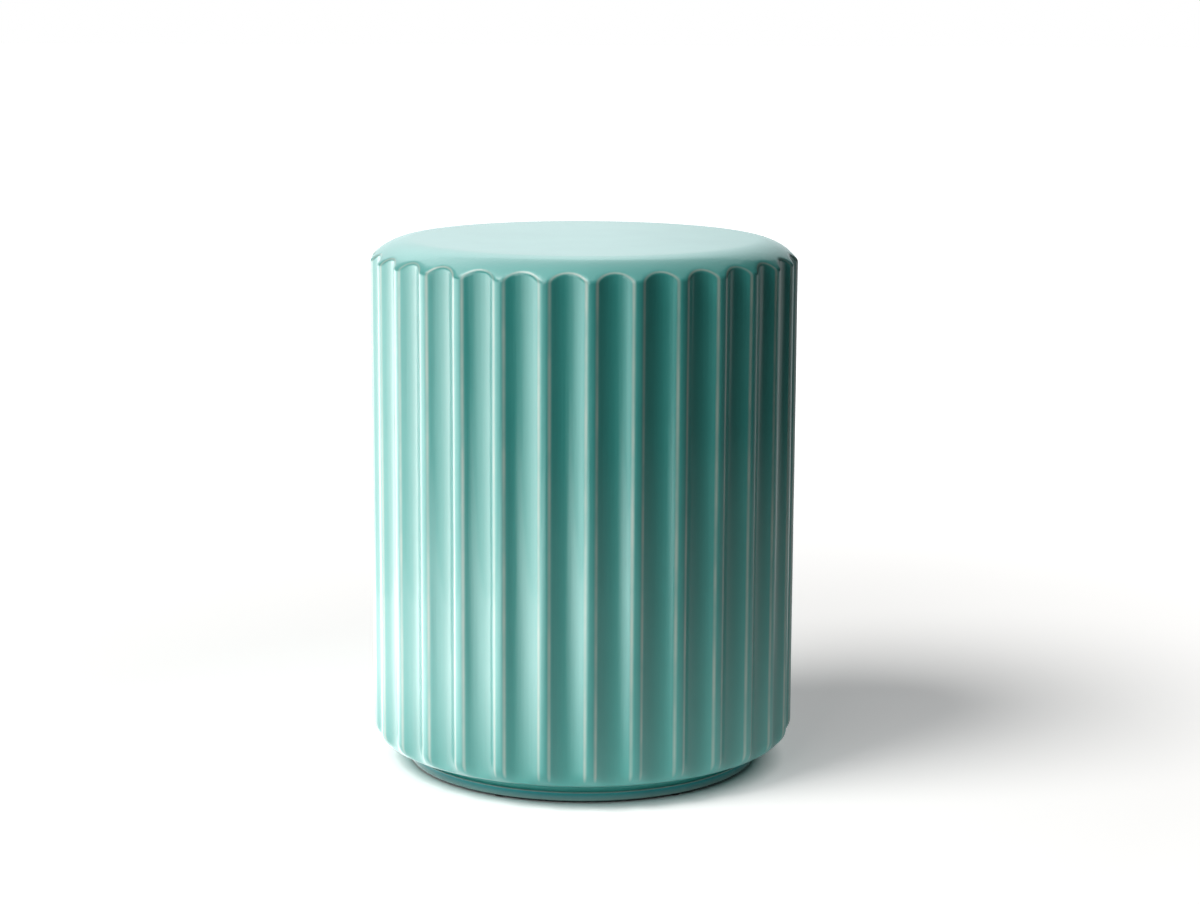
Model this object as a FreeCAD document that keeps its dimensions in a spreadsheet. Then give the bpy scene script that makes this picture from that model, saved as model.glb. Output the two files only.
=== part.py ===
import FreeCAD, Part
import math
import os

import Sketcher

# Ceramic garden stool: a glazed, fluted drum closed by a seat disc, on a
# narrower foot ring with floor pads. The origin is the middle of the footprint
# on the floor, +Z is up and -Y is the front. All sizes are in millimetres.

Vector = FreeCAD.Vector

SIZES = {
    # whole stool
    "stool_height": 450,
    "drum_diameter": 361.5,
    # seat and the shoulder that rolls from it to the wall
    "seat_flat_diameter": 289,
    "shoulder_slope": 47,
    "shoulder_corner_radius": 5.5,
    "roof_thickness": 10,
    "seat_seam_inset": 4.5,
    "seat_disc_thickness": 11,
    "seat_rebate_depth": 5,
    "seat_ledge_width": 8,
    "slip_gap": 0.3,
    # flutes, and the lands that stand between them
    "flute_count": 30,
    "flute_depth": 6.5,
    "land_width": 8.8,
    "wall_thickness": 6.5,
    "inner_corner": 12,
    # bottom edge of the drum: the lands roll in to the lip and the flutes run out
    "bottom_roll_radius": 16,
    "lip_setback": 12.25,
    "lip_flute_depth": 0.35,
    "foot_band_count": 4,
    "floor_thickness": 9,
    # foot ring under the lip, with the band and the bead that show
    "plinth_height": 18.2,
    "plinth_diameter": 300,
    "plinth_neck_setback": 2.5,
    "band_height": 8,
    "band_edge_bevel": 1.2,
    "foot_edge_bevel": 1.5,
    "foot_ring_width": 15,
    "spigot_overlap": 5,
    "spigot_height": 6,
    "web_thickness": 7,
    "web_corner_bevel": 5,
    "vent_diameter": 90,
    # floor pads on the bare clay of the foot
    "pad_count": 6,
    "pad_diameter": 11,
    "pad_thickness": 1.5,
}

# how far a cutter stands outside the surface that it cuts
CUTTER_MARGIN = 6
# how far a flute's cutter runs on past the flute's edges
RUN_PAST = 1.2
# upright stretch of the foot above its roll
FOOT_STRAIGHT = 2
# share of the shoulder's arc that lies clear of the arches
SHOULDER_SPLIT = 0.8


def make_sheet(doc):
    """Write the driving dimensions, one named cell each."""
    sheet = doc.addObject("Spreadsheet::Sheet", "sizes")
    for row, (name, value) in enumerate(SIZES.items(), start=1):
        sheet.set(f"A{row}", name)
        sheet.set(f"B{row}", str(value))
        sheet.setAlias(f"B{row}", name)
    doc.recompute()
    return sheet


class Outline:
    """A sketch on the body's own XZ plane: x is the radius, y is the height."""

    def __init__(self, body, name):
        self.sketch = body.newObject("Sketcher::SketchObject", name)
        for plane in body.Origin.OriginFeatures:
            if plane.Role == "XZ_Plane":
                self.sketch.AttachmentSupport = [(plane, "")]
        self.sketch.MapMode = "FlatFace"
        self.edges = []

    def line(self, start, end):
        """Add a straight edge that is level or upright, as its ends are."""
        segment = Part.LineSegment(Vector(*start, 0), Vector(*end, 0))
        index = self.sketch.addGeometry(segment, False)
        level = abs(start[1] - end[1]) < abs(start[0] - end[0])
        kind = "Horizontal" if level else "Vertical"
        self.sketch.addConstraint(Sketcher.Constraint(kind, index))
        self.edges.append((index, 1, 2))
        return index

    def arc(self, centre, radius, start_angle, end_angle):
        """Add an arc that is run through clockwise, from its start angle to its end angle."""
        circle = Part.Circle(Vector(*centre, 0), Vector(0, 0, 1), radius)
        first, last = math.radians(end_angle), math.radians(start_angle)
        index = self.sketch.addGeometry(Part.ArcOfCircle(circle, first, last), False)
        self.edges.append((index, 2, 1))
        return index

    def slant(self, start, end):
        """Add a straight edge across a corner."""
        segment = Part.LineSegment(Vector(*start, 0), Vector(*end, 0))
        index = self.sketch.addGeometry(segment, False)
        self.edges.append((index, 1, 2))
        return index

    def join(self, smooth=()):
        """Join each edge's end to the next one's start, tangent where the pair is listed."""
        for here, (index, _, end) in enumerate(self.edges):
            following, start, _ = self.edges[(here + 1) % len(self.edges)]
            kind = "Tangent" if (index, following) in smooth else "Coincident"
            self.sketch.addConstraint(Sketcher.Constraint(kind, index, end, following, start))

    def _bind(self, constraint, name, expression):
        number = self.sketch.addConstraint(constraint)
        self.sketch.renameConstraint(number, name)
        self.sketch.setExpression(f"Constraints.{name}", expression)

    def radius_at(self, index, point, value, name, expression):
        """Set the distance of an edge's point from the stool's axis."""
        self._bind(Sketcher.Constraint("DistanceX", -1, 1, index, point, value), name, expression)

    def height_at(self, index, point, value, name, expression):
        """Set the height of an edge's point above the floor."""
        self._bind(Sketcher.Constraint("DistanceY", -1, 1, index, point, value), name, expression)

    def arc_radius(self, index, value, name, expression):
        """Set the radius of an arc."""
        self._bind(Sketcher.Constraint("Radius", index, value), name, expression)

    def turn(self, body, name):
        """Revolve the outline about the stool's axis."""
        solid = body.newObject("PartDesign::Revolution", name)
        solid.Profile = self.sketch
        solid.ReferenceAxis = (self.sketch, ["V_Axis"])
        solid.Angle = 360
        self.sketch.Visibility = False
        return solid


def make_seat_disc(doc, size):
    """The round slab whose thicker middle drops inside the ledge of the drum."""
    body = doc.addObject("PartDesign::Body", "seat_disc")
    body.Label = "seat_disc"
    top = size.stool_height
    edge = size.seat_flat_diameter / 2 - size.seat_seam_inset
    ledge_top = top - size.seat_rebate_depth
    middle = edge - size.seat_ledge_width
    underside = top - size.seat_disc_thickness

    outline = Outline(body, "seat_disc_outline")
    face = outline.line((0, top), (edge, top))
    rim = outline.line((edge, top), (edge, ledge_top))
    rest = outline.line((edge, ledge_top), (middle, ledge_top))
    drop = outline.line((middle, ledge_top), (middle, underside))
    back = outline.line((middle, underside), (0, underside))
    outline.line((0, underside), (0, top))
    outline.join()
    outline.radius_at(face, 1, 0, "axis", "0")
    outline.height_at(face, 1, top, "top", "sizes.stool_height")
    outline.radius_at(rim, 1, edge, "edge",
                      "sizes.seat_flat_diameter / 2 - sizes.seat_seam_inset")
    outline.height_at(rest, 1, ledge_top, "ledge_top", "sizes.stool_height - sizes.seat_rebate_depth")
    outline.radius_at(drop, 1, middle, "middle",
                      "sizes.seat_flat_diameter / 2 - sizes.seat_seam_inset"
                      " - sizes.seat_ledge_width")
    outline.height_at(back, 1, underside, "underside", "sizes.stool_height - sizes.seat_disc_thickness")
    outline.turn(body, "seat_disc_slab")
    return body


class DrumForm:
    """The drum's places, worked out from the driving dimensions."""

    def __init__(self, size):
        self.top = size.stool_height
        self.radius = size.drum_diameter / 2
        self.lip_radius = self.radius - size.lip_setback
        self.lip_height = size.pad_thickness + size.plinth_height

        # shoulder: a wide arc falls from the level seat to its slope, and a
        # tight corner arc turns it on into the upright wall
        self.slope = math.radians(size.shoulder_slope)
        self.corner_radius = size.shoulder_corner_radius
        self.flat_radius = size.seat_flat_diameter / 2
        reach = self.radius - self.flat_radius - self.corner_radius * (1 - math.sin(self.slope))
        self.shoulder_radius = reach / math.sin(self.slope)
        drop = self.shoulder_radius * (1 - math.cos(self.slope))
        self.wall_top = self.top - drop - self.corner_radius * math.cos(self.slope)

        # bottom roll of the lands: an arc from the upright wall in to the lip
        self.roll_radius = size.bottom_roll_radius
        self.roll_angle = math.acos(1 - size.lip_setback / self.roll_radius)
        self.roll_top = self.lip_height + self.roll_radius * math.sin(self.roll_angle)
        self.foot_top = self.roll_top + FOOT_STRAIGHT
        self.band_count = int(size.foot_band_count)
        self.lip_flute_depth = size.lip_flute_depth

        # flutes: equal shallow troughs, with a land left between each two
        self.count = int(size.flute_count)
        self.pitch = 2 * math.pi / self.count
        self.floor_radius = self.radius - size.flute_depth
        self.land_half_angle = math.asin(size.land_width / 2 / self.radius)

        # inside, and the spigot of the plinth that the floor's opening takes
        self.inner_radius = self.floor_radius - size.wall_thickness
        ring_radius = size.plinth_diameter / 2 - size.foot_ring_width
        self.spigot_radius = ring_radius + size.spigot_overlap

    def roll_at(self, share):
        """Radius and height of the lands at a share of the way down the bottom roll."""
        turn = share * self.roll_angle
        radius = self.radius - self.roll_radius * (1 - math.cos(turn))
        return radius, self.roll_top - self.roll_radius * math.sin(turn)


def make_drum_crown(doc, form):
    """The drum's plain outside from the foot's top upwards, before its flutes are cut."""
    body = doc.addObject("PartDesign::Body", "drum_crown")
    upright = 90 - math.degrees(form.slope)
    halfway = 90 - SHOULDER_SPLIT * math.degrees(form.slope)
    centre = (form.flat_radius, form.top - form.shoulder_radius)
    corner_centre = (form.radius - form.corner_radius, form.wall_top)

    outline = Outline(body, "crown_outline")
    axis = outline.line((0, form.foot_top), (0, form.top))
    seat = outline.line((0, form.top), (form.flat_radius, form.top))
    shoulder = outline.arc(centre, form.shoulder_radius, 90, halfway)
    brow = outline.arc(centre, form.shoulder_radius, halfway, upright)
    turn = outline.arc(corner_centre, form.corner_radius, upright, 0)
    wall = outline.line((form.radius, form.wall_top), (form.radius, form.foot_top))
    base = outline.line((form.radius, form.foot_top), (0, form.foot_top))
    outline.join(smooth={(seat, shoulder), (shoulder, brow), (brow, turn), (turn, wall)})

    foot_top = ("sizes.pad_thickness + sizes.plinth_height"
                " + sizes.bottom_roll_radius"
                " * sin(acos(1 - sizes.lip_setback / sizes.bottom_roll_radius))"
                f" + {FOOT_STRAIGHT}")
    shoulder_arc = ("((sizes.drum_diameter - sizes.seat_flat_diameter) / 2"
                    " - sizes.shoulder_corner_radius * (1 - sin(sizes.shoulder_slope * 1deg)))"
                    " / sin(sizes.shoulder_slope * 1deg)")
    split = (f"sizes.seat_flat_diameter / 2 + {shoulder_arc}"
             f" * sin({SHOULDER_SPLIT} * sizes.shoulder_slope * 1deg)")
    split_radius = form.flat_radius + form.shoulder_radius * math.sin(SHOULDER_SPLIT * form.slope)
    outline.radius_at(axis, 1, 0, "axis", "0")
    outline.height_at(base, 2, form.foot_top, "foot_top", foot_top)
    outline.height_at(seat, 1, form.top, "top", "sizes.stool_height")
    outline.radius_at(seat, 2, form.flat_radius, "seat_flat", "sizes.seat_flat_diameter / 2")
    outline.arc_radius(shoulder, form.shoulder_radius, "shoulder_arc", shoulder_arc)
    outline.arc_radius(brow, form.shoulder_radius, "brow_arc", shoulder_arc)
    outline.radius_at(brow, 2, split_radius, "brow_start", split)
    outline.arc_radius(turn, form.corner_radius, "corner_arc", "sizes.shoulder_corner_radius")
    outline.radius_at(wall, 1, form.radius, "wall", "sizes.drum_diameter / 2")
    outline.turn(body, "crown_solid")
    return body


def make_drum_hollow(doc, size, form):
    """The space inside the drum: the open floor, the hollow and the rebate for the seat."""
    body = doc.addObject("PartDesign::Body", "drum_hollow")
    rebate = form.flat_radius - size.seat_seam_inset + size.slip_gap
    rebate_floor = form.top - size.seat_rebate_depth
    ledge = rebate - size.seat_ledge_width
    roof = form.top - size.roof_thickness
    inner = form.inner_radius
    corner = size.inner_corner
    opening = form.spigot_radius + size.slip_gap
    floor_top = form.lip_height + size.floor_thickness
    below = form.lip_height - CUTTER_MARGIN
    above = form.top + CUTTER_MARGIN

    outline = Outline(body, "hollow_outline")
    axis = outline.line((0, below), (0, above))
    lid = outline.line((0, above), (rebate, above))
    side = outline.line((rebate, above), (rebate, rebate_floor))
    seat = outline.line((rebate, rebate_floor), (ledge, rebate_floor))
    lip = outline.line((ledge, rebate_floor), (ledge, roof))
    ceiling = outline.line((ledge, roof), (inner - corner, roof))
    outline.slant((inner - corner, roof), (inner, roof - corner))
    inside = outline.line((inner, roof - corner), (inner, floor_top + corner))
    outline.slant((inner, floor_top + corner), (inner - corner, floor_top))
    floor = outline.line((inner - corner, floor_top), (opening, floor_top))
    mouth = outline.line((opening, floor_top), (opening, below))
    base = outline.line((opening, below), (0, below))
    outline.join()

    lip_height = "sizes.pad_thickness + sizes.plinth_height"
    seam = "sizes.seat_flat_diameter / 2 - sizes.seat_seam_inset + sizes.slip_gap"
    wall = "sizes.drum_diameter / 2 - sizes.flute_depth - sizes.wall_thickness"
    outline.radius_at(axis, 1, 0, "axis", "0")
    outline.height_at(lid, 1, above, "above", f"sizes.stool_height + {CUTTER_MARGIN}")
    outline.height_at(base, 2, below, "below", f"{lip_height} - {CUTTER_MARGIN}")
    outline.radius_at(side, 1, rebate, "rebate", seam)
    outline.height_at(seat, 1, rebate_floor, "rebate_floor",
                      "sizes.stool_height - sizes.seat_rebate_depth")
    outline.radius_at(lip, 1, ledge, "ledge", f"{seam} - sizes.seat_ledge_width")
    outline.height_at(ceiling, 1, roof, "roof", "sizes.stool_height - sizes.roof_thickness")
    outline.radius_at(ceiling, 2, inner - corner, "ceiling_edge", f"{wall} - sizes.inner_corner")
    outline.radius_at(inside, 1, inner, "inside", wall)
    outline.height_at(inside, 1, roof - corner, "high_corner",
                      "sizes.stool_height - sizes.roof_thickness - sizes.inner_corner")
    outline.height_at(inside, 2, floor_top + corner, "low_corner",
                      f"{lip_height} + sizes.floor_thickness + sizes.inner_corner")
    outline.height_at(floor, 1, floor_top, "floor_top", f"{lip_height} + sizes.floor_thickness")
    outline.radius_at(floor, 1, inner - corner, "floor_edge", f"{wall} - sizes.inner_corner")
    outline.radius_at(mouth, 1, opening, "opening",
                      "sizes.plinth_diameter / 2 - sizes.foot_ring_width"
                      " + sizes.spigot_overlap + sizes.slip_gap")
    outline.turn(body, "hollow_solid")
    return body


def place(radius, angle, height):
    """A point at an angle from the front, towards the stool's right."""
    return Vector(radius * math.sin(angle), -radius * math.cos(angle), height)


def fluted_section(form, height, land, floor):
    """Level outline right round the drum: a land's arc and a flute's arc in turn."""
    edge = form.land_half_angle
    arcs = []
    for number in range(form.count):
        middle = number * form.pitch
        land_ends = (place(land, middle - edge, height), place(land, middle + edge, height))
        next_land = place(land, middle + form.pitch - edge, height)
        deepest = place(floor, middle + form.pitch / 2, height)
        crest = place(land, middle, height)
        arcs.append(Part.Arc(land_ends[0], crest, land_ends[1]).toShape())
        arcs.append(Part.Arc(land_ends[1], deepest, next_land).toShape())
    return Part.Wire(arcs)


def make_drum_foot(doc, form):
    """The fluted foot, ruled between level outlines that roll in to the lip."""
    outlines = [fluted_section(form, form.foot_top, form.radius, form.floor_radius)]
    for band in range(form.band_count + 1):
        land, height = form.roll_at(band / form.band_count)
        floor = min(form.floor_radius, land - form.lip_flute_depth)
        outlines.append(fluted_section(form, height, land, floor))

    sections = []
    for number, wire in enumerate(outlines, start=1):
        section = doc.addObject("Part::Feature", f"foot_section_{number}")
        section.Shape = wire
        sections.append(section)
    foot = doc.addObject("Part::Loft", "drum_foot")
    foot.Sections = sections
    foot.Solid = True
    foot.Ruled = True
    return foot


def flute_outline(form, number, height):
    """Level outline of one flute's cutter, closed outside the drum.

    Its trough is the same arc as in fluted_section, run on a little past both edges.
    """
    half = form.pitch / 2 - form.land_half_angle
    edge_x = form.radius * math.sin(half)
    sink = form.radius * math.cos(half) - form.floor_radius
    bend = (edge_x**2 + sink**2) / (2 * sink)
    swing = math.asin(edge_x / bend) * RUN_PAST
    side = bend * math.sin(swing)
    lift = form.floor_radius + bend * (1 - math.cos(swing))
    back = form.radius + CUTTER_MARGIN
    turn = (number + 0.5) * form.pitch

    def corner(across, out):
        radius = math.hypot(across, out)
        return place(radius, turn + math.atan2(across, out), height)

    left, right = corner(-side, lift), corner(side, lift)
    back_left, back_right = corner(-side, back), corner(side, back)
    trough = Part.Arc(left, corner(0, form.floor_radius), right).toShape()
    return Part.Wire([
        trough,
        Part.makeLine(right, back_right),
        Part.makeLine(back_right, back_left),
        Part.makeLine(back_left, left),
    ])


def make_flute_cutters(doc, form):
    """One upright cutter for each flute, from below the crown to above the seat."""
    start = form.foot_top - CUTTER_MARGIN
    outlines = doc.addObject("Part::Feature", "flute_outlines")
    outlines.Shape = Part.makeCompound([
        flute_outline(form, number, start) for number in range(form.count)
    ])
    cutters = doc.addObject("Part::Extrusion", "flute_cutters")
    cutters.Base = outlines
    cutters.DirMode = "Custom"
    cutters.Dir = Vector(0, 0, 1)
    cutters.LengthFwd = form.top + CUTTER_MARGIN - start
    cutters.Solid = True
    return cutters


def make_fluted_drum(doc, size, form):
    """Flute the crown, set it on the foot and hollow the whole."""
    crown = doc.addObject("Part::Cut", "fluted_crown")
    crown.Base = make_drum_crown(doc, form)
    crown.Tool = make_flute_cutters(doc, form)
    outside = doc.addObject("Part::Fuse", "drum_outside")
    outside.Base = crown
    outside.Tool = make_drum_foot(doc, form)
    outside.Refine = True
    drum = doc.addObject("Part::Cut", "fluted_drum")
    drum.Label = "fluted_drum"
    drum.Base = outside
    drum.Tool = make_drum_hollow(doc, size, form)
    return drum


def make_base_plinth(doc, size, form):
    """The foot ring: bare foot, band, bead and shaded neck outside, web and vent inside."""
    body = doc.addObject("PartDesign::Body", "base_plinth")
    body.Label = "base_plinth"
    foot = size.pad_thickness
    band = size.plinth_diameter / 2
    neck = band - size.plinth_neck_setback
    bead = foot + size.band_height
    ring = band - size.foot_ring_width
    spigot = form.spigot_radius
    web_top = form.lip_height + size.spigot_height
    web_under = web_top - size.web_thickness
    vent = size.vent_diameter / 2
    foot_edge = size.foot_edge_bevel
    band_edge = size.band_edge_bevel
    corner = size.web_corner_bevel

    outline = Outline(body, "plinth_outline")
    web = outline.line((vent, web_top), (spigot, web_top))
    plug = outline.line((spigot, web_top), (spigot, form.lip_height))
    rest = outline.line((spigot, form.lip_height), (neck, form.lip_height))
    cove = outline.line((neck, form.lip_height), (neck, bead))
    step = outline.line((neck, bead), (band - band_edge, bead))
    outline.slant((band - band_edge, bead), (band, bead - band_edge))
    face = outline.line((band, bead - band_edge), (band, foot + foot_edge))
    outline.slant((band, foot + foot_edge), (band - foot_edge, foot))
    bottom = outline.line((band - foot_edge, foot), (ring, foot))
    inside = outline.line((ring, foot), (ring, web_under - corner))
    outline.slant((ring, web_under - corner), (ring - corner, web_under))
    ceiling = outline.line((ring - corner, web_under), (vent, web_under))
    hole = outline.line((vent, web_under), (vent, web_top))
    outline.join()

    lip_height = "sizes.pad_thickness + sizes.plinth_height"
    bead_height = "sizes.pad_thickness + sizes.band_height"
    web_height = lip_height + " + sizes.spigot_height - sizes.web_thickness"
    ring_radius = "sizes.plinth_diameter / 2 - sizes.foot_ring_width"
    outline.height_at(web, 1, web_top, "web_top", lip_height + " + sizes.spigot_height")
    outline.radius_at(plug, 1, spigot, "spigot", ring_radius + " + sizes.spigot_overlap")
    outline.height_at(rest, 1, form.lip_height, "lip_height", lip_height)
    outline.radius_at(cove, 1, neck, "neck", "sizes.plinth_diameter / 2 - sizes.plinth_neck_setback")
    outline.height_at(step, 1, bead, "bead", bead_height)
    outline.radius_at(step, 2, band - band_edge, "step_edge",
                      "sizes.plinth_diameter / 2 - sizes.band_edge_bevel")
    outline.radius_at(face, 1, band, "band", "sizes.plinth_diameter / 2")
    outline.height_at(face, 1, bead - band_edge, "face_top",
                      bead_height + " - sizes.band_edge_bevel")
    outline.height_at(face, 2, foot + foot_edge, "face_base",
                      "sizes.pad_thickness + sizes.foot_edge_bevel")
    outline.radius_at(bottom, 1, band - foot_edge, "foot_edge",
                      "sizes.plinth_diameter / 2 - sizes.foot_edge_bevel")
    outline.height_at(bottom, 2, foot, "foot", "sizes.pad_thickness")
    outline.radius_at(inside, 1, ring, "ring", ring_radius)
    outline.height_at(inside, 2, web_under - corner, "web_corner",
                      web_height + " - sizes.web_corner_bevel")
    outline.radius_at(ceiling, 1, ring - corner, "ceiling_edge",
                      ring_radius + " - sizes.web_corner_bevel")
    outline.height_at(ceiling, 2, web_under, "web_under", web_height)
    outline.radius_at(hole, 1, vent, "vent", "sizes.vent_diameter / 2")
    outline.turn(body, "plinth_ring")
    return body


def make_floor_pads(doc, size):
    """Thin round pads, evenly spaced on the bare clay of the foot ring."""
    pads = []
    for number in range(1, int(size.pad_count) + 1):
        pad = doc.addObject("Part::Cylinder", f"floor_pad_{number}")
        pad.Label = f"floor_pad_{number}"
        pad.setExpression("Radius", "sizes.pad_diameter / 2")
        pad.setExpression("Height", "sizes.pad_thickness")
        ring = "(sizes.plinth_diameter - sizes.foot_ring_width) / 2"
        turn = f"({number} - 0.5) * 360deg / sizes.pad_count"
        pad.setExpression("Placement.Base.x", f"{ring} * sin({turn})")
        pad.setExpression("Placement.Base.y", f"-{ring} * cos({turn})")
        pads.append(pad)
    return pads


def check(doc, pieces):
    """Stop if any object failed or any piece is not one valid solid."""
    for thing in doc.Objects:
        if "Invalid" in thing.State or "Error" in thing.State:
            raise RuntimeError(f"{thing.Label} did not build: {thing.State}")
    for piece in pieces:
        if piece.Shape.isNull() or not piece.Shape.isValid():
            raise RuntimeError(f"{piece.Label} has no valid shape")
        if len(piece.Shape.Solids) != 1:
            raise RuntimeError(f"{piece.Label} is not one solid")


def main():
    doc = FreeCAD.newDocument("garden_stool")
    size = make_sheet(doc)
    form = DrumForm(size)
    pieces = [
        make_seat_disc(doc, size),
        make_fluted_drum(doc, size, form),
        make_base_plinth(doc, size, form),
    ]
    pieces += make_floor_pads(doc, size)
    doc.recompute()
    check(doc, pieces)

    os.makedirs("parts", exist_ok=True)
    for piece in pieces:
        piece.Shape.exportStep(f"parts/{piece.Label}.step")
        print(piece.Label, round(piece.Shape.Volume / 1000, 1), "cm3")


main()
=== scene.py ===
import math

import bmesh
import bpy
from mathutils import Matrix, Vector, noise


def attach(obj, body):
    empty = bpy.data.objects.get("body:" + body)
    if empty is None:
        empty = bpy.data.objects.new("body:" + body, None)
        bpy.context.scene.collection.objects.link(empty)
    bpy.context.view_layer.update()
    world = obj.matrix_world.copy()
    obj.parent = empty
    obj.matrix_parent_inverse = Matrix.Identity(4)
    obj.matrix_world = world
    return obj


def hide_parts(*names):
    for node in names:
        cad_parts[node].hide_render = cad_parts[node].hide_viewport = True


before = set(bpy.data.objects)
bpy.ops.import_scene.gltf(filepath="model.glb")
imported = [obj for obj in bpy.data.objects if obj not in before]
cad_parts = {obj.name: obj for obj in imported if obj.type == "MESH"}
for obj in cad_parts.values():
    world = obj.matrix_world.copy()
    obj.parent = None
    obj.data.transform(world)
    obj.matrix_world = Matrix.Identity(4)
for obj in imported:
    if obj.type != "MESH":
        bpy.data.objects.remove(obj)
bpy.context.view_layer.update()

MM = 0.001
MERGE_DISTANCE = 1e-6
SHARP_ANGLE = math.radians(35.0)

# Drum outline
STOOL_HEIGHT = 450.0
DRUM_RADIUS = 180.7
SEAM_RADIUS = 140.0
SEAM_GAP = 0.05
FLAT_RADIUS = 144.4
SHOULDER_SLOPE = math.radians(47.0)
CORNER_RADIUS = 5.5
LIP_RADIUS = 168.4
LIP_HEIGHT = 19.75
ROLL_RADIUS = 16.0

# Drum inside, which only shows through the vent
INNER_RADIUS = 168.0
DRUM_FLOOR_TOP = 28.6
ROOF_UNDERSIDE = 440.1
LEDGE_HEIGHT = 444.9
LEDGE_RADIUS = 132.4
SPIGOT_SEAT_RADIUS = 140.4
INNER_CORNER = 10.0
LIP_LEDGE = 6.0

# Flutes
FLUTE_COUNT = 30
PITCH = 2.0 * math.pi / FLUTE_COUNT
LAND_HALF_ANGLE = math.asin(4.4 / DRUM_RADIUS)
FLUTE_FLOOR_RADIUS = 174.3
FLUTE_ARC = 20.7
LIP_FLUTE_DEPTH = 0.35
REACH_SHY = 0.02
RIM_ROUNDING = 3.6
BREAK_WIDTH = 2.4
ARCH_BREAK = 0.9
# How far the lip's pale edge runs: partly glaze break, partly painted highlight
LIP_BREAK_AND_GLINT_LENGTH = 4.5
FADE_START = 2.0
FADE_DEPTH = 4.0
PROBE = 0.05
LEAST_SLOPE = 0.001
ARC_PASSES = 4
REACH_HALVINGS = 30

# Glaze waviness
WAVE_DEPTH = 0.14
WAVE_LENGTH = 90.0
WAVE_TURNS = 4.4
STRIP_WAVE = 0.8
STRIP_WAVE_LENGTH = 60.0
STRIP_SEED = 7.3
WAVE_FADE_ROWS = 12.0


def azimuth_point(radius, angle, height):
    """A point in metres, with angle 0 at the front and growing to the right."""
    x = radius * math.sin(angle)
    y = -radius * math.cos(angle)
    return Vector((x, y, height)) * MM


def smooth_min(a, b, blend):
    """The smaller of two radii, rounded where they cross."""
    near = max(blend - abs(a - b), 0.0) / blend
    return min(a, b) - near * near * blend / 4.0


# The drum's plain outline before fluting
class Profile:
    """The outline from the seam over the shoulder and down to the lip."""

    def __init__(self):
        run = DRUM_RADIUS - FLAT_RADIUS - CORNER_RADIUS * (1.0 - math.sin(SHOULDER_SLOPE))
        self.shoulder_arc = run / math.sin(SHOULDER_SLOPE)
        drop = self.shoulder_arc * (1.0 - math.cos(SHOULDER_SLOPE))
        self.corner_top = STOOL_HEIGHT - drop
        self.corner_end = self.corner_top - CORNER_RADIUS * math.cos(SHOULDER_SLOPE)
        inset = DRUM_RADIUS - LIP_RADIUS
        roll = math.acos(1.0 - inset / ROLL_RADIUS)
        self.roll_start = LIP_HEIGHT + ROLL_RADIUS * math.sin(roll)
        flat = FLAT_RADIUS - SEAM_RADIUS
        shoulder = self.shoulder_arc * SHOULDER_SLOPE
        corner = CORNER_RADIUS * (math.pi / 2.0 - SHOULDER_SLOPE)
        wall = self.corner_end - self.roll_start
        bottom = ROLL_RADIUS * roll
        self.marks = [0.0]
        for length in (flat, shoulder, corner, wall, bottom):
            self.marks.append(self.marks[-1] + length)
        self.length = self.marks[-1]

    def point(self, s):
        """Radius and height at a distance s along the outline."""
        flat, shoulder, corner, wall, bottom = self.marks[1:]
        if s < flat:
            return SEAM_RADIUS + s, STOOL_HEIGHT
        if s < shoulder:
            turn = (s - flat) / self.shoulder_arc
            radius = FLAT_RADIUS + self.shoulder_arc * math.sin(turn)
            return radius, STOOL_HEIGHT - self.shoulder_arc * (1.0 - math.cos(turn))
        if s < corner:
            turn = SHOULDER_SLOPE + (s - shoulder) / CORNER_RADIUS
            radius = DRUM_RADIUS - CORNER_RADIUS * (1.0 - math.sin(turn))
            return radius, self.corner_end + CORNER_RADIUS * math.cos(turn)
        if s < wall:
            return DRUM_RADIUS, self.corner_end - (s - corner)
        turn = (s - wall) / ROLL_RADIUS
        radius = DRUM_RADIUS - ROLL_RADIUS * (1.0 - math.cos(turn))
        return radius, self.roll_start - ROLL_RADIUS * math.sin(turn)

    def reach(self, radius):
        """The distance along the shoulder at which the outline reaches a radius."""
        low, high = self.marks[1], self.marks[3]
        for _ in range(REACH_HALVINGS):
            middle = (low + high) / 2.0
            if self.point(middle)[0] < radius:
                low = middle
            else:
                high = middle
        return low


PROFILE = Profile()
WALL_FOOT = PROFILE.marks[4]


def trough(across):
    """How far a flute's arc has risen, from 0 in its middle to 1 at its edge and on."""
    bend = FLUTE_ARC / (DRUM_RADIUS * math.sin(PITCH / 2.0 - LAND_HALF_ANGLE))
    edge = math.sqrt(bend**2 - 1.0)
    sagitta = bend - edge
    if across > 1.0:
        return 1.0 + (across - 1.0) / edge / sagitta
    return (bend - math.sqrt(bend**2 - across**2)) / sagitta


def flute_depth(s):
    """The radius of the lands and of the flutes' floor that shape the flutes at s."""
    if s <= WALL_FOOT:
        return DRUM_RADIUS, FLUTE_FLOOR_RADIUS
    land = PROFILE.point(s)[0]
    return land, min(FLUTE_FLOOR_RADIUS, land - LIP_FLUTE_DEPTH)


def flute_radius(angle, s):
    """The radius of the flute's wall at an angle from the nearest land's middle."""
    land, floor = flute_depth(s)
    off = PITCH / 2.0 - abs(angle)
    half = PITCH / 2.0 - LAND_HALF_ANGLE
    edge = land * math.sin(half)
    rise = land * math.cos(half) - floor
    radius = floor
    for _ in range(ARC_PASSES):
        radius = (floor + rise * trough(radius * abs(math.sin(off)) / edge)) / math.cos(off)
    return radius


# Columns of one half pitch, in degrees from the land's middle to the flute's middle
HALF_COLUMNS = (
    0.0, 0.4, 0.7, 0.95, 1.15, 1.32, 1.48, 1.65, 1.87, 2.15, 2.5, 3.1, 3.9, 4.9, 6.0,
)


def half_columns():
    """The angles of one half pitch, from the land's middle to the flute's."""
    return [math.radians(a) for a in HALF_COLUMNS]


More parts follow.
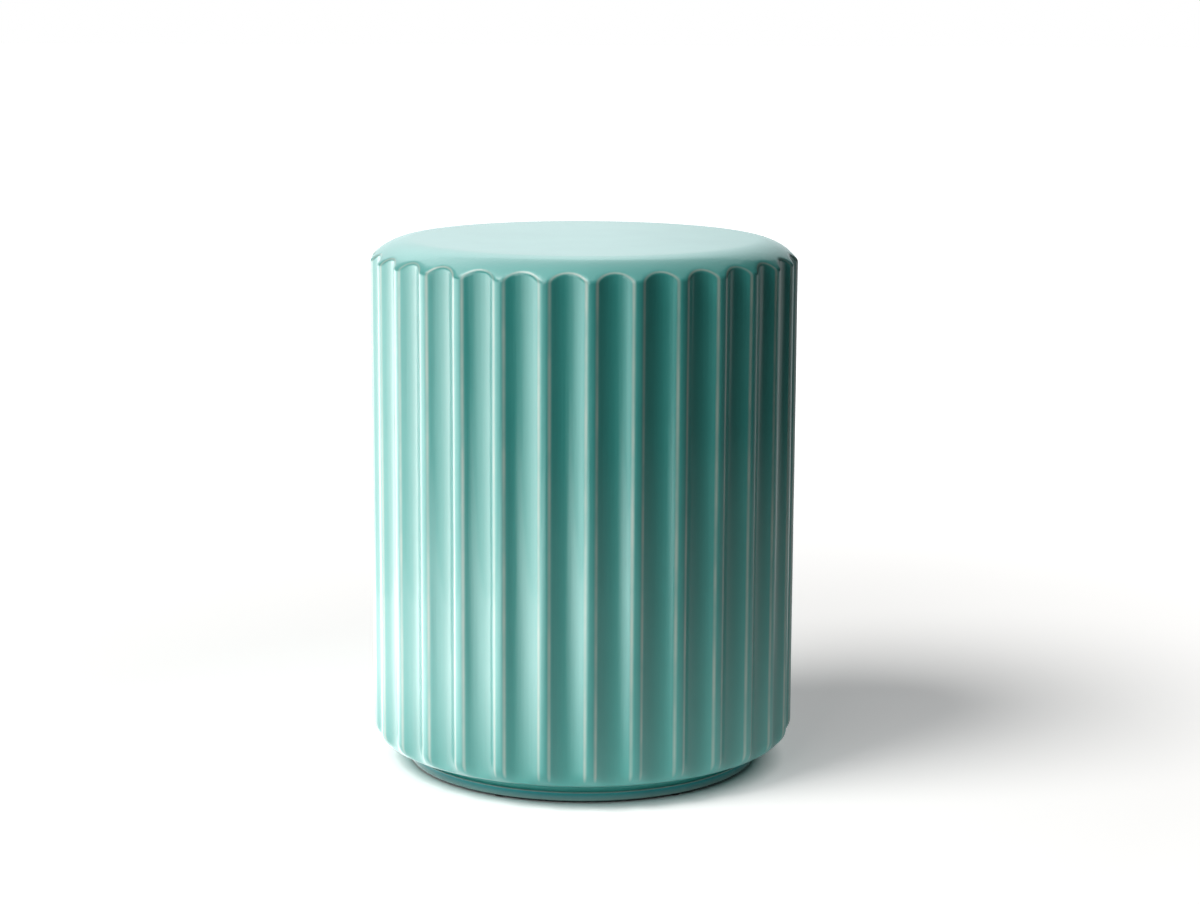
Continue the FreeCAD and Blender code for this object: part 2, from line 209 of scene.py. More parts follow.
def column_angles():
    """The angle of every column round the drum, denser at the flutes' edges."""
    one = half_columns()
    pitch = one + [PITCH - a for a in reversed(one[1:-1])]
    return [k * PITCH + a for k in range(FLUTE_COUNT) for a in pitch]


# Rows, as distances from the rim of the arch
RIM_STEPS = (-3.6, -2.7, -2.0, -1.4, -0.9, -0.45, 0.0, 0.45, 0.9, 1.4, 2.0, 2.7, 3.6, 5.0)
SHOULDER_ROWS = 16
WALL_ROWS = 34
ROLL_ROWS = 16


def row_distances(angle):
    """The distances along the outline of one column's rows."""
    radius = min(flute_radius(angle, 0.0), DRUM_RADIUS - REACH_SHY)
    rim = PROFILE.reach(radius)
    first = rim + RIM_STEPS[0]
    rows = [first * k / SHOULDER_ROWS for k in range(SHOULDER_ROWS)]
    rows += [rim + step for step in RIM_STEPS]
    top = rows[-1]
    rows += [top + (WALL_FOOT - top) * k / WALL_ROWS for k in range(1, WALL_ROWS)]
    roll = PROFILE.length - WALL_FOOT
    rows += [WALL_FOOT + roll * k / ROLL_ROWS for k in range(ROLL_ROWS + 1)]
    return rows


def wave(angle, height):
    """The slight waviness of the glazed surface, in mm outward from its lowest."""
    around = Vector((math.sin(angle), math.cos(angle), 0.0)) * WAVE_TURNS
    broad = noise.noise(around + Vector((0.0, 0.0, height / WAVE_LENGTH)))
    strip = round(angle / PITCH * 2.0) * STRIP_SEED
    own = noise.noise(Vector((strip, 0.0, height / STRIP_WAVE_LENGTH)))
    return WAVE_DEPTH * (broad + STRIP_WAVE * own)


def rise_over_flute(angle, s):
    """How far the plain outline stands out over the flute's wall."""
    return PROFILE.point(s)[0] - flute_radius(angle, s)


def skin_point(angle, s):
    """Radius, height, edge amount and depth amount of the fluted drum's skin."""
    radius, height = PROFILE.point(s)
    over = rise_over_flute(angle, s)
    turned = abs(angle) + PROBE / DRUM_RADIUS
    across = (rise_over_flute(turned, s) - over) / PROBE
    along = (rise_over_flute(angle, min(s + PROBE, PROFILE.length)) - over) / PROBE
    slope = max(math.hypot(across, along), LEAST_SLOPE)
    shaped = smooth_min(radius, radius - over, RIM_ROUNDING * slope)
    edge = max(1.0 - abs(over) / slope / BREAK_WIDTH, 0.0)
    if s < PROFILE.marks[3]:
        edge *= ARCH_BREAK
    land, floor = flute_depth(s)
    edge *= min(max((land - floor - FADE_START) / FADE_DEPTH, 0.0), 1.0)
    # The lip's last few mm are painted pale, partly glaze break and partly a painted highlight
    # of the lip's edge
    edge = max(edge, 1.0 - (PROFILE.length - s) / LIP_BREAK_AND_GLINT_LENGTH)
    depth = min(max((radius - shaped) / (DRUM_RADIUS - FLUTE_FLOOR_RADIUS), 0.0), 1.0)
    return shaped, height, edge, depth


def hidden_rows():
    """Radius and height of the rows from the lip under and through the inside."""
    return [
        (LIP_RADIUS - LIP_LEDGE, LIP_HEIGHT),
        (SPIGOT_SEAT_RADIUS, LIP_HEIGHT),
        (SPIGOT_SEAT_RADIUS, DRUM_FLOOR_TOP),
        (INNER_RADIUS - INNER_CORNER, DRUM_FLOOR_TOP),
        (INNER_RADIUS, DRUM_FLOOR_TOP + INNER_CORNER),
        (INNER_RADIUS, STOOL_HEIGHT / 2.0),
        (INNER_RADIUS, ROOF_UNDERSIDE - INNER_CORNER),
        (INNER_RADIUS - INNER_CORNER, ROOF_UNDERSIDE),
        (LEDGE_RADIUS, ROOF_UNDERSIDE),
        (LEDGE_RADIUS, LEDGE_HEIGHT),
        (SEAM_RADIUS + SEAM_GAP, LEDGE_HEIGHT),
    ]


def spun(outline, columns, sectors):
    """A body of revolution from an outline of (radius, height) in mm, one sector repeated."""
    bm = bmesh.new()
    row_layer = bm.verts.layers.int.new("row")
    verts = []
    for row, (radius, height) in enumerate(outline):
        vert = bm.verts.new(azimuth_point(radius, 0.0, height))
        vert[row_layer] = row
        verts.append(vert)
    edges = [bm.edges.new(pair) for pair in zip(verts, verts[1:])]
    if outline[0][0] > 0.0:
        edges.append(bm.edges.new((verts[-1], verts[0])))
    axis = {"cent": (0.0, 0.0, 0.0), "axis": (0.0, 0.0, 1.0)}
    sector = 2.0 * math.pi / sectors
    bmesh.ops.spin(bm, geom=verts + edges, angle=sector, steps=columns // sectors, **axis)
    one = bm.verts[:] + bm.edges[:] + bm.faces[:]
    rest = sectors - 1
    bmesh.ops.spin(bm, geom=one, angle=rest * sector, steps=rest, use_duplicate=True, **axis)
    bmesh.ops.remove_doubles(bm, verts=bm.verts, dist=MERGE_DISTANCE)
    return bm


def finished(name, bm):
    """An object from a bmesh, with its normals outward and smooth shading."""
    bmesh.ops.recalc_face_normals(bm, faces=bm.faces)
    for face in bm.faces:
        face.smooth = True
    mesh = bpy.data.meshes.new(name)
    bm.to_mesh(mesh)
    bm.free()
    mesh.set_sharp_from_angle(angle=SHARP_ANGLE)
    piece = bpy.data.objects.new(name, mesh)
    bpy.context.scene.collection.objects.link(piece)
    return piece


def drum_skin():
    """The glazed drum, spun from its outline and then drawn in to the flutes."""
    angles = column_angles()
    outline = [PROFILE.point(s) for s in row_distances(0.0)]
    skin_rows = len(outline)
    outline += hidden_rows()
    half = [[skin_point(a, s) for s in row_distances(a)] for a in half_columns()]
    folded = half + half[-2:0:-1]
    bm = spun(outline, len(angles), FLUTE_COUNT)
    row_layer = bm.verts.layers.int["row"]
    edge_layer = bm.verts.layers.float.new("edge")
    depth_layer = bm.verts.layers.float.new("depth")
    for vert in bm.verts:
        row = vert[row_layer]
        turned = math.atan2(vert.co.x, -vert.co.y) / (2.0 * math.pi)
        column = round(turned * len(angles)) % len(angles)
        angle = angles[column]
        if row >= skin_rows:
            radius, height = outline[row]
            vert.co = azimuth_point(radius, angle, height)
            continue
        radius, height, vert[edge_layer], vert[depth_layer] = folded[column % len(folded)][row]
        ripple = min(row / WAVE_FADE_ROWS, 1.0) * max(WAVE_DEPTH + wave(angle, height), 0.0)
        vert.co = azimuth_point(radius - ripple, angle, height)
    return finished("glazed_drum", bm)


# Seat
SEAT_UNDERSIDE = 439.2
SEAT_PLUG_RADIUS = 132.0
SEAT_LEDGE = 445.1
SEAT_RINGS = (0.0, 50.0, 100.0, SEAM_RADIUS)
SEAT_COLUMNS = 240
SEAT_SECTORS = 10


def seat_skin():
    """The glazed seat slab with the step that sits on the drum's ledge."""
    outline = [(radius, STOOL_HEIGHT) for radius in SEAT_RINGS]
    outline += [
        (SEAM_RADIUS, SEAT_LEDGE),
        (SEAT_PLUG_RADIUS, SEAT_LEDGE),
        (SEAT_PLUG_RADIUS, SEAT_UNDERSIDE),
        (0.0, SEAT_UNDERSIDE),
    ]
    return finished("glazed_seat", spun(outline, SEAT_COLUMNS, SEAT_SECTORS))


# Plinth
PLINTH_TOP = 19.6
NECK_RADIUS = 147.4
BAND_RADIUS = 149.9
BAND_TOP = 9.5
BAND_BOTTOM = 1.55
BAND_EDGE = 1.3
FOOT_EDGE = 1.5
COVE = 2.2
FOOT_RING_INNER = 135.1
WEB_UNDERSIDE = 18.75
WEB_TOP = 25.6
VENT_RADIUS = 45.2
SPIGOT_RADIUS = 139.9
WEB_CORNER = 4.5
ARC_ROWS = 6
NECK_DROP = 3.0
COVE_END = 262.0
BAND_START = 80.0
WEB_BEVEL = 1.0
SPIGOT_BEVEL = 0.8
PLINTH_COLUMNS = 360
PLINTH_SECTORS = 12

# Where the plinth's glaze breaks and ends, from its band's top and bottom
BREAK_HALF_WIDTH = 0.8
TOP_BREAK_DROP = 0.4
LOW_BREAK_RISE = 1.2
# Heights of the foot's strip painted near-black as shade, and of the neck painted lighter as
# bounce light
CLAY_AND_SHADE_RISE = 0.6
NECK_BOUNCE_LIGHT_RISE = 0.2
OUTSIDE_DEPTH = 1.0


def arc(centre_r, centre_z, radius, start, end):
    """Points of an arc in the outline's plane, with angles in degrees from outward."""
    points = []
    for k in range(ARC_ROWS + 1):
        turn = math.radians(start + (end - start) * k / ARC_ROWS)
        points.append((centre_r + radius * math.cos(turn), centre_z + radius * math.sin(turn)))
    return points


def plinth_outline():
    """The foot ring with its cove, bead, web, vent rim and spigot."""
    points = [(NECK_RADIUS, PLINTH_TOP)]
    points.append((NECK_RADIUS, PLINTH_TOP - NECK_DROP))
    points += arc(NECK_RADIUS + COVE, BAND_TOP + COVE, COVE, 180.0, COVE_END)
    points += arc(BAND_RADIUS - BAND_EDGE, BAND_TOP - BAND_EDGE, BAND_EDGE, BAND_START, 0.0)
    points += arc(BAND_RADIUS - FOOT_EDGE, BAND_BOTTOM + FOOT_EDGE, FOOT_EDGE, 0.0, -90.0)
    points += arc(FOOT_RING_INNER + FOOT_EDGE, BAND_BOTTOM + FOOT_EDGE, FOOT_EDGE, -90.0, -180.0)
    points.append((FOOT_RING_INNER, WEB_UNDERSIDE - WEB_CORNER))
    points.append((FOOT_RING_INNER - WEB_CORNER, WEB_UNDERSIDE))
    points.append((VENT_RADIUS + WEB_BEVEL, WEB_UNDERSIDE))
    points.append((VENT_RADIUS, WEB_UNDERSIDE + WEB_BEVEL))
    points.append((VENT_RADIUS, WEB_TOP - WEB_BEVEL))
    points.append((VENT_RADIUS + WEB_BEVEL, WEB_TOP))
    points.append((SPIGOT_RADIUS - SPIGOT_BEVEL, WEB_TOP))
    points.append((SPIGOT_RADIUS, WEB_TOP - SPIGOT_BEVEL))
    points.append((SPIGOT_RADIUS, PLINTH_TOP))
    return points


def plinth_skin():
    """The glazed plinth on its bare clay foot. The foot's lowest strip is painted near-black as
    shade, and the neck is painted lighter as bounce light.
    """
    bm = spun(plinth_outline(), PLINTH_COLUMNS, PLINTH_SECTORS)
    edge_layer = bm.verts.layers.float.new("edge")
    clay_and_shade_layer = bm.verts.layers.float.new("clay_and_shade")
    neck_layer = bm.verts.layers.float.new("neck")
    for vert in bm.verts:
        radius = math.hypot(vert.co.x, vert.co.y) / MM
        height = vert.co.z / MM
        if radius < NECK_RADIUS - OUTSIDE_DEPTH:
            continue
        top_edge = 1.0 - abs(height - BAND_TOP + TOP_BREAK_DROP) / BREAK_HALF_WIDTH
        low_edge = 1.0 - abs(height - BAND_BOTTOM - LOW_BREAK_RISE) / BREAK_HALF_WIDTH
        vert[edge_layer] = max(top_edge, low_edge, 0.0)
        # The lowest strip of the foot is bare clay, painted near-black as the shade of the gap
        # under it
        vert[clay_and_shade_layer] = 1.0 if height < BAND_BOTTOM + CLAY_AND_SHADE_RISE else 0.0
        # The neck above the band is marked for a lighter colour: painted bounce light
        vert[neck_layer] = 1.0 if height > BAND_TOP + NECK_BOUNCE_LIGHT_RISE else 0.0
    return finished("glazed_plinth", bm)


# Materials
def new_material(name):
    """An empty node material and its node tree."""
    material = bpy.data.materials.new(name)
    material.use_nodes = True
    tree = material.node_tree
    shader = tree.nodes["Principled BSDF"]
    return material, tree, shader


def mix_colours(tree, amount, first, second):
    """A colour mix node with its inputs set or linked."""
    mix = tree.nodes.new("ShaderNodeMix")
    mix.data_type = "RGBA"
    for socket, value in ((0, amount), (6, first), (7, second)):
        if isinstance(value, (int, float, tuple)):
            mix.inputs[socket].default_value = value
        else:
            tree.links.new(value, mix.inputs[socket])
    return mix.outputs[2]


def maths(tree, operation, first, second):
    """A maths node on two sockets, or a socket and a number."""
    node = tree.nodes.new("ShaderNodeMath")
    node.operation = operation
    for socket, value in enumerate((first, second)):
        if isinstance(value, float):
            node.inputs[socket].default_value = value
        else:
            tree.links.new(value, node.inputs[socket])
    return node.outputs["Value"]


def attribute(tree, name):
    """A named vertex attribute's value."""
    node = tree.nodes.new("ShaderNodeAttribute")
    node.attribute_name = name
    return node.outputs["Fac"]


def scaled(tree, value, low, high, out_low=0.0, out_high=1.0):
    """A value mapped from one range to another."""
    node = tree.nodes.new("ShaderNodeMapRange")
    node.inputs["From Min"].default_value = low
    node.inputs["From Max"].default_value = high
    node.inputs["To Min"].default_value = out_low
    node.inputs["To Max"].default_value = out_high
    tree.links.new(value, node.inputs["Value"])
    return node.outputs["Result"]


def object_noise(tree, scale, detail=2.0, stretch=(1.0, 1.0, 1.0)):
    """Noise in object coordinates."""
    coords = tree.nodes.new("ShaderNodeTexCoord")
    mapping = tree.nodes.new("ShaderNodeMapping")
    mapping.inputs["Scale"].default_value = stretch
    tree.links.new(coords.outputs["Object"], mapping.inputs["Vector"])
    node = tree.nodes.new("ShaderNodeTexNoise")
    node.inputs["Scale"].default_value = scale
    node.inputs["Detail"].default_value = detail
    tree.links.new(mapping.outputs["Vector"], node.inputs["Vector"])
    return node.outputs["Fac"]


# Colours of the glaze, the clay and the rubber. The clay is painted near-black as the shade of
# the gap under the foot, and the thin glaze colour on the plinth's neck is painted bounce light.
GLAZE = (0.040, 0.308, 0.280, 1.0)
GLAZE_DEEP = (0.022, 0.235, 0.206, 1.0)
# Thin glaze colour, also painted on the plinth's neck as bounce light
GLAZE_THIN_AND_LIT = (0.070, 0.365, 0.330, 1.0)
EDGE_CLAY = (0.620, 0.610, 0.530, 1.0)
PLINTH_GLAZE = (0.014, 0.240, 0.262, 1.0)
PLINTH_GLAZE_THIN = (0.030, 0.290, 0.300, 1.0)
# Near-black bare clay: painted shade of the gap under the foot
CLAY_PAINTED_SHADE = (0.030, 0.016, 0.011, 1.0)
RUBBER = (0.012, 0.011, 0.010, 1.0)
RUBBER_WORN = (0.020, 0.018, 0.016, 1.0)
RIPPLE_ACROSS = 330.0
RIPPLE_ALONG = 9.0
RIPPLE_HEIGHT = 0.0005
RIPPLE_STRENGTH = 0.25

# Noise sizes per metre, and how much the patterns change the surface
CLOUD_SIZE = 9.0
PLINTH_CLOUD_SIZE = 14.0
CLOUD_RANGE = (0.35, 0.7)
POOL_RANGE = (0.1, 1.0, 0.0, 0.7)
EDGE_RANGE = (0.2, 1.0, 0.0, 0.6)
PATCH_SIZE = 26.0
PATCH_RANGE = (0.35, 0.65, 0.55, 1.0)
CLOUD_DETAIL = 3.0
PLINTH_EDGE_RANGE = (0.1, 0.9, 0.0, 0.5)
GRAIN_SIZE = 700.0
GRAIN_RANGE = (0.3, 0.7)

# Gloss
GLAZE_ROUGHNESS = 0.34
GLAZE_IOR = 1.6
COAT_WEIGHT = 0.5
COAT_ROUGHNESS = 0.05
COAT_IOR = 1.5
PLINTH_ROUGHNESS = 0.25
CLAY_ROUGHNESS = 0.9
PLINTH_SPECULAR = 0.2
RUBBER_ROUGHNESS = 0.8


def drawn_ripple(tree, shader):
    """The faint upright streaks that glaze leaves as it runs."""
    streaks = object_noise(tree, 1.0, stretch=(RIPPLE_ACROSS, RIPPLE_ACROSS, RIPPLE_ALONG))
    bump = tree.nodes.new("ShaderNodeBump")
    bump.inputs["Strength"].default_value = RIPPLE_STRENGTH
    bump.inputs["Distance"].default_value = RIPPLE_HEIGHT
    tree.links.new(streaks, bump.inputs["Height"])
    tree.links.new(bump.outputs["Normal"], shader.inputs["Normal"])
    tree.links.new(bump.outputs["Normal"], shader.inputs["Coat Normal"])


def glossy(shader):
    """A deep glaze's own gloss under a thin mirror-smooth surface."""
    shader.inputs["Roughness"].default_value = GLAZE_ROUGHNESS
    shader.inputs["IOR"].default_value = GLAZE_IOR
    shader.inputs["Coat Weight"].default_value = COAT_WEIGHT
    shader.inputs["Coat Roughness"].default_value = COAT_ROUGHNESS
    shader.inputs["Coat IOR"].default_value = COAT_IOR


def glaze_material():
    """Glossy coloured glaze that thins to a pale line on edges, the lip's pale line partly a
    painted highlight.
    """
    material, tree, shader = new_material("celadon_glaze")
    cloud = scaled(tree, object_noise(tree, CLOUD_SIZE, CLOUD_DETAIL), *CLOUD_RANGE)
    colour = mix_colours(tree, cloud, GLAZE, GLAZE_THIN_AND_LIT)
    pooled = scaled(tree, attribute(tree, "depth"), *POOL_RANGE)
    colour = mix_colours(tree, pooled, colour, GLAZE_DEEP)
    edge = scaled(tree, attribute(tree, "edge"), *EDGE_RANGE)
    patchy = scaled(tree, object_noise(tree, PATCH_SIZE), *PATCH_RANGE)
    colour = mix_colours(tree, maths(tree, "MULTIPLY", edge, patchy), colour, EDGE_CLAY)
    tree.links.new(colour, shader.inputs["Base Color"])
    glossy(shader)
    drawn_ripple(tree, shader)
    return material


def plinth_material():
    """The plinth's darker glaze, with a lighter neck painted as bounce light, ending above a
    bare clay foot painted near-black as the shade of the gap under it.
    """
    material, tree, shader = new_material("plinth_glaze")
    cloud = scaled(tree, object_noise(tree, PLINTH_CLOUD_SIZE, CLOUD_DETAIL), *CLOUD_RANGE)
    colour = mix_colours(tree, cloud, PLINTH_GLAZE, PLINTH_GLAZE_THIN)
    # The neck gets the lighter thin glaze colour: painted bounce light
    colour = mix_colours(tree, attribute(tree, "neck"), colour, GLAZE_THIN_AND_LIT)
    edge = scaled(tree, attribute(tree, "edge"), *PLINTH_EDGE_RANGE)
    colour = mix_colours(tree, edge, colour, EDGE_CLAY)
    clay_and_shade = attribute(tree, "clay_and_shade")
    # The foot's bare strip is drawn near-black: painted shade of the gap under it
    colour = mix_colours(tree, clay_and_shade, colour, CLAY_PAINTED_SHADE)
    tree.links.new(colour, shader.inputs["Base Color"])
    rough = scaled(tree, clay_and_shade, 0.0, 1.0, PLINTH_ROUGHNESS, CLAY_ROUGHNESS)
    tree.links.new(rough, shader.inputs["Roughness"])
    shader.inputs["Specular IOR Level"].default_value = PLINTH_SPECULAR
    return material


def rubber_material():
    """Dull dark rubber with a faint grain."""
    material, tree, shader = new_material("pad_rubber")
    grain = scaled(tree, object_noise(tree, GRAIN_SIZE), *GRAIN_RANGE)
    colour = mix_colours(tree, grain, RUBBER, RUBBER_WORN)
    tree.links.new(colour, shader.inputs["Base Color"])
    shader.inputs["Roughness"].default_value = RUBBER_ROUGHNESS
    return material


# The floor's light and shade, with distances from the stool's middle in metres
BOUNCE_NEAR = 0.26
BOUNCE_FAR = 0.7
MIRRORED_NEAR = -0.5
MIRRORED_FAR = 1.9
FLOOR_FILL = 0.34
FAR_FILL = 0.8
FAR_FILL_START = 0.5
FAR_FILL_END = 2.0
FLOOR_SHADE_INNER = 0.150
FLOOR_SHADE_OUTER = 0.176
LEFT_GLOW = 6.2
LEFT_GLOW_START = -0.05
LEFT_GLOW_FULL = -0.5
LEFT_GLOW_BACK = 0.25
LEFT_GLOW_FRONT = -2.2
LEFT_GLOW_SIDE = -0.4
BACK_GLOW = 0.5
BACK_GLOW_START = 0.3
BACK_GLOW_FULL = 1.0
WHITE = (1.0, 1.0, 1.0, 1.0)
PAPER = (0.97, 0.97, 0.97, 1.0)
BLACK = (0.0, 0.0, 0.0, 1.0)

# The floor card's place
FLOOR_CENTRE = (0.0, 4.0, 0.0)
FLOOR_SIZE = 30.0
ABOVE_FLOOR = (0.0, 4.0, 1.0)

# Cards that only reflections show, with each glow's ramps along the room
BACKDROP_CENTRE = (-0.7, 1.9, 1.075)
BACKDROP_FACES = (-0.7, -2.2, 1.075)
BACKDROP_SIZE = (4.0, 2.15)
BACKDROP_COLOUR = (0.88, 0.99, 1.0, 1.0)
BACKDROP_RAMPS = (("Z", 0.9, 2.0, 1.3, 2.7), ("X", 0.1, 1.1, 1.0, 0.35))
CEILING_CENTRE = (-0.6, 0.15, 2.2)
CEILING_FACES = (-0.6, 0.15, 0.0)
CEILING_SIZE = (4.0, 3.5)
CEILING_COLOUR = (0.97, 0.99, 1.0, 1.0)
CEILING_RAMPS = (("X", -1.0, 1.0, 2.6, 0.6),)
SIDE_CENTRE = (-0.8, -0.4, 0.65)
SIDE_FACES = (0.0, -0.4, 0.65)
SIDE_SIZE = (2.6, 1.3)
SIDE_COLOUR = (0.97, 1.0, 0.99, 1.0)
SIDE_RAMPS = (("Y", -1.65, -0.1, 0.0, 5.2), ("Z", 0.44, 0.5, 1.0, 0.1))

# Lamps and the room
KEY_AZIMUTH = -63.0
KEY_HEIGHT = 50.0
KEY_SPREAD = 30.0
KEY_STRENGTH = 2.15
KEY_COLOUR = (1.0, 0.985, 0.96)
FILL_CENTRE = (-0.58, -1.03, 0.8)
FILL_FACES = (0.0, 0.0, 0.28)
FILL_SIZE = 0.9
FILL_POWER = 6.0
ROOM_COLOUR = (0.9, 0.97, 1.0, 1.0)
ROOM_STRENGTH = 0.03


def floor_material():
    """White studio paper, dark far from the stool and bright to its left in reflections."""
    material, tree, shader = new_material("floor_paper")
    place = tree.nodes.new("ShaderNodeTexCoord").outputs["Object"]
    path = tree.nodes.new("ShaderNodeLightPath")
    length = tree.nodes.new("ShaderNodeVectorMath")
    length.operation = "LENGTH"
    tree.links.new(place, length.inputs[0])
    reach = length.outputs["Value"]
    bounced = scaled(tree, reach, BOUNCE_NEAR, BOUNCE_FAR)
    bounced = maths(tree, "MULTIPLY", bounced, path.outputs["Is Diffuse Ray"])
    mirrored = scaled(tree, reach, MIRRORED_NEAR, MIRRORED_FAR)
    mirrored = maths(tree, "MULTIPLY", mirrored, path.outputs["Is Glossy Ray"])
    dark = maths(tree, "ADD", bounced, mirrored)
    colour = mix_colours(tree, dark, PAPER, BLACK)
    tree.links.new(colour, shader.inputs["Base Color"])
    shader.inputs["Roughness"].default_value = 1.0
    shader.inputs["Specular IOR Level"].default_value = 0.0

    open_floor = scaled(tree, reach, FLOOR_SHADE_INNER, FLOOR_SHADE_OUTER)
    spread = scaled(tree, reach, FAR_FILL_START, FAR_FILL_END, FLOOR_FILL, FAR_FILL)
    fill = maths(tree, "MULTIPLY", open_floor, spread)
    fill = maths(tree, "MULTIPLY", fill, maths(tree, "SUBTRACT", 1.0, dark))
    parts = tree.nodes.new("ShaderNodeSeparateXYZ")
    tree.links.new(place, parts.inputs["Vector"])
    left = scaled(tree, parts.outputs["X"], LEFT_GLOW_FULL, LEFT_GLOW_START, LEFT_GLOW, 0.0)
    left_back = scaled(
        tree, parts.outputs["Y"], BACK_GLOW_START, BACK_GLOW_FULL, 1.0, LEFT_GLOW_BACK
    )
    front = scaled(tree, parts.outputs["Y"], LEFT_GLOW_FRONT, LEFT_GLOW_SIDE)
    left = maths(tree, "MULTIPLY", left, front)
    back = scaled(tree, parts.outputs["Y"], BACK_GLOW_START, BACK_GLOW_FULL, 0.0, BACK_GLOW)
    pool = maths(tree, "ADD", maths(tree, "MULTIPLY", left, left_back), back)
    pool = maths(tree, "MULTIPLY", pool, path.outputs["Is Glossy Ray"])
    glow = maths(tree, "ADD", fill, pool)
    shader.inputs["Emission Color"].default_value = WHITE
    tree.links.new(glow, shader.inputs["Emission Strength"])
    return material


def glowing(name, colour, *ramps):
    """A light card's material, whose glow changes along axes of the room.

    Each ramp is an axis, two places along it and the glow at each.
    """
    material = bpy.data.materials.new(name)
    material.use_nodes = True
    tree = material.node_tree
    tree.nodes.clear()
    coords = tree.nodes.new("ShaderNodeTexCoord")
    parts = tree.nodes.new("ShaderNodeSeparateXYZ")
    tree.links.new(coords.outputs["Object"], parts.inputs["Vector"])
    power = 1.0
    for axis, low, high, power_low, power_high in ramps:
        ramp = scaled(tree, parts.outputs[axis], low, high, power_low, power_high)
        power = maths(tree, "MULTIPLY", power, ramp)
    glow = tree.nodes.new("ShaderNodeEmission")
    glow.inputs["Color"].default_value = colour
    tree.links.new(power, glow.inputs["Strength"])
    output = tree.nodes.new("ShaderNodeOutputMaterial")
    tree.links.new(glow.outputs["Emission"], output.inputs["Surface"])
    return material


def card(name, centre, size, facing, material):
    """A flat card of a width and height that faces a point."""
    bm = bmesh.new()
    bmesh.ops.create_grid(bm, x_segments=1, y_segments=1, size=0.5)
    bmesh.ops.scale(bm, vec=(*size, 1.0), verts=bm.verts)
    towards = (Vector(facing) - Vector(centre)).normalized()
    turn = towards.to_track_quat("Z", "Y").to_matrix().to_4x4()
    bmesh.ops.transform(bm, matrix=Matrix.Translation(centre) @ turn, verts=bm.verts)
    mesh = bpy.data.meshes.new(name)
    bm.to_mesh(mesh)
    bm.free()
    mesh.materials.append(material)
    piece = bpy.data.objects.new(name, mesh)
    bpy.context.scene.collection.objects.link(piece)
    return piece


def reflected_card(*settings):
    """A card that only the glaze's reflections show."""
    piece = card(*settings)
    piece.visible_camera = False
    piece.visible_diffuse = False
    piece.visible_shadow = False
    return piece


def direction(azimuth, height):
    """The unit vector towards a compass angle from the front and a height angle."""
    level = math.cos(height)
    return Vector((math.sin(azimuth) * level, -math.cos(azimuth) * level, math.sin(height)))


def add_sun(name, azimuth, height, spread, strength, colour):
    """A distant soft light, with its angles in degrees."""
    data = bpy.data.lights.new(name, "SUN")
    data.energy = strength
    data.angle = math.radians(spread)
    data.color = colour
    lamp = bpy.data.objects.new(name, data)
    towards = direction(math.radians(azimuth), math.radians(height))
    lamp.rotation_mode = "QUATERNION"
    lamp.rotation_quaternion = towards.to_track_quat("Z", "Y")
    bpy.context.scene.collection.objects.link(lamp)


def add_softbox(name, centre, facing, size, power):
    """A square soft light that faces a point."""
    data = bpy.data.lights.new(name, "AREA")
    data.shape = "SQUARE"
    data.size = size
    data.energy = power
    lamp = bpy.data.objects.new(name, data)
    lamp.location = centre
    towards = Vector(facing) - Vector(centre)
    lamp.rotation_mode = "QUATERNION"
    lamp.rotation_quaternion = towards.to_track_quat("-Z", "Y")
    bpy.context.scene.collection.objects.link(lamp)


# Camera, matched to the photograph's view
CAMERA_PLACE = (-0.0805, -2.3048, 0.6835)
CAMERA_HEADING = math.radians(2.354)
CAMERA_PITCH = math.radians(10.265)
CAMERA_ROLL = math.radians(0.274)
LENS = 82.115
SENSOR_WIDTH = 36.0
VIEW_END = 60.0


def add_camera():
    """The camera at the photograph's place and angle."""
    heading, pitch, roll = CAMERA_HEADING, CAMERA_PITCH, CAMERA_ROLL
    right = Vector((math.cos(heading), -math.sin(heading), 0.0))
    ahead = Vector(
        (
            math.sin(heading) * math.cos(pitch),
            math.cos(heading) * math.cos(pitch),
            -math.sin(pitch),
        )
    )
    up = right.cross(ahead)
    turned_right = right * math.cos(roll) + up * math.sin(roll)
    turned_up = up * math.cos(roll) - right * math.sin(roll)
    data = bpy.data.cameras.new("camera")
    data.lens = LENS
    data.sensor_width = SENSOR_WIDTH
    data.clip_end = VIEW_END
    camera = bpy.data.objects.new("camera", data)
    axes = Matrix((turned_right, turned_up, -ahead)).transposed()
    camera.matrix_world = Matrix.Translation(CAMERA_PLACE) @ axes.to_4x4()
    bpy.context.scene.collection.objects.link(camera)
    bpy.context.scene.camera = camera


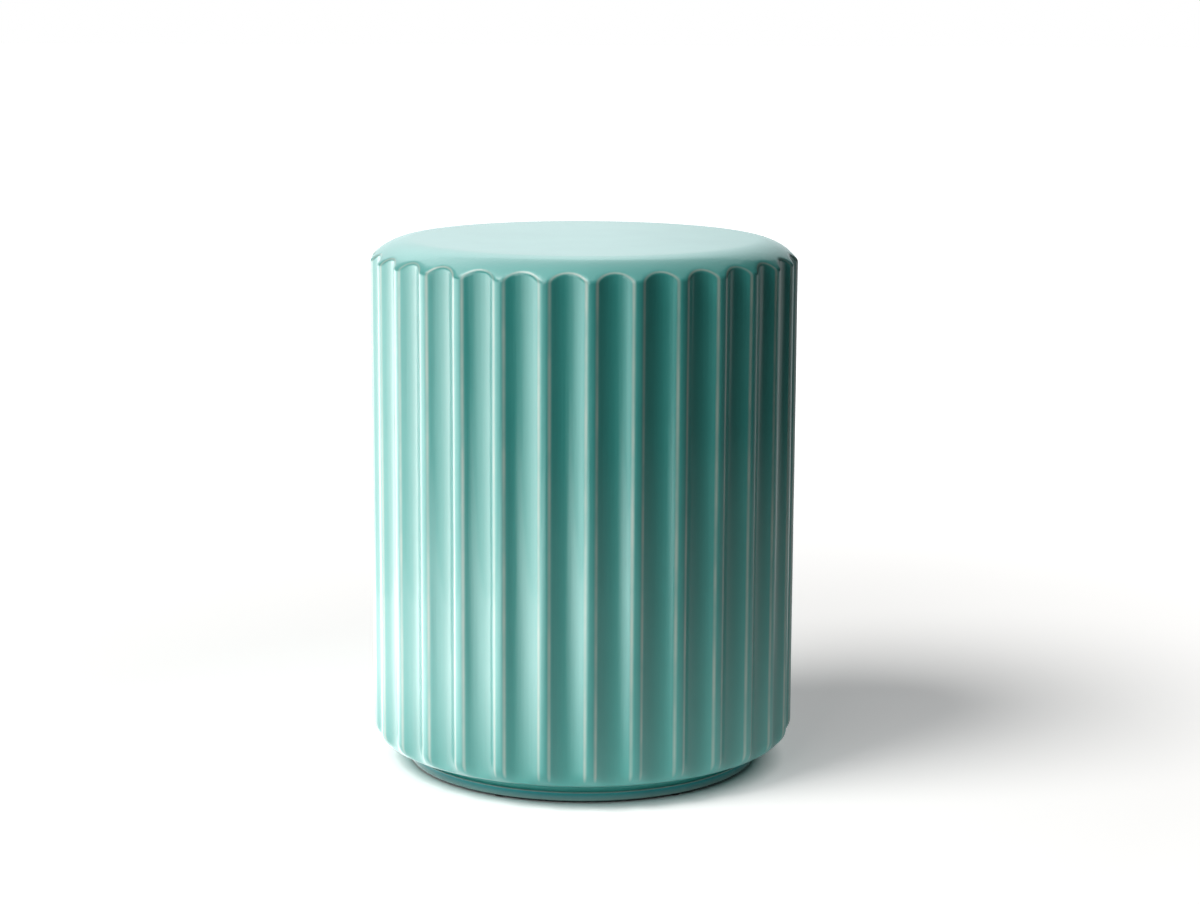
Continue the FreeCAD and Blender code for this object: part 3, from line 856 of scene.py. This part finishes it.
def add_world():
    """A white view for the camera and a dim room for everything else."""
    world = bpy.data.worlds.new("studio")
    world.use_nodes = True
    tree = world.node_tree
    tree.nodes.clear()
    path = tree.nodes.new("ShaderNodeLightPath")
    seen = tree.nodes.new("ShaderNodeBackground")
    seen.inputs["Color"].default_value = WHITE
    seen.inputs["Strength"].default_value = 1.0
    room = tree.nodes.new("ShaderNodeBackground")
    room.inputs["Color"].default_value = ROOM_COLOUR
    room.inputs["Strength"].default_value = ROOM_STRENGTH
    mix = tree.nodes.new("ShaderNodeMixShader")
    output = tree.nodes.new("ShaderNodeOutputWorld")
    tree.links.new(path.outputs["Is Camera Ray"], mix.inputs[0])
    tree.links.new(room.outputs[0], mix.inputs[1])
    tree.links.new(seen.outputs[0], mix.inputs[2])
    tree.links.new(mix.outputs[0], output.inputs["Surface"])
    bpy.context.scene.world = world


def dress(piece, material, *nodes, slot=None):
    """Gives a piece its material and its place on the CAD model."""
    piece.data.materials.clear()
    piece.data.materials.append(material)
    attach(piece, "root")
    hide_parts(*nodes)


glaze = glaze_material()
dress(drum_skin(), glaze, "fluted_drum", slot="glaze")
dress(seat_skin(), glaze, "seat_disc", slot="glaze")
dress(plinth_skin(), plinth_material(), "base_plinth", slot="plinth_glaze")
rubber = rubber_material()
for node_name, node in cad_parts.items():
    if node_name.startswith("floor_pad"):
        node.data.materials.clear()
        node.data.materials.append(rubber)

card("floor", FLOOR_CENTRE, (FLOOR_SIZE, FLOOR_SIZE), ABOVE_FLOOR, floor_material())
backdrop_glow = glowing("backdrop_glow", BACKDROP_COLOUR, *BACKDROP_RAMPS)
reflected_card("backdrop", BACKDROP_CENTRE, BACKDROP_SIZE, BACKDROP_FACES, backdrop_glow)
ceiling_glow = glowing("ceiling_glow", CEILING_COLOUR, *CEILING_RAMPS)
reflected_card("ceiling", CEILING_CENTRE, CEILING_SIZE, CEILING_FACES, ceiling_glow)
side_glow = glowing("softbox_glow", SIDE_COLOUR, *SIDE_RAMPS)
reflected_card("left_softbox", SIDE_CENTRE, SIDE_SIZE, SIDE_FACES, side_glow)
add_sun("key", KEY_AZIMUTH, KEY_HEIGHT, KEY_SPREAD, KEY_STRENGTH, KEY_COLOUR)
add_softbox("fill", FILL_CENTRE, FILL_FACES, FILL_SIZE, FILL_POWER)
add_world()
add_camera()

view = bpy.context.scene.view_settings
view.view_transform = "Standard"
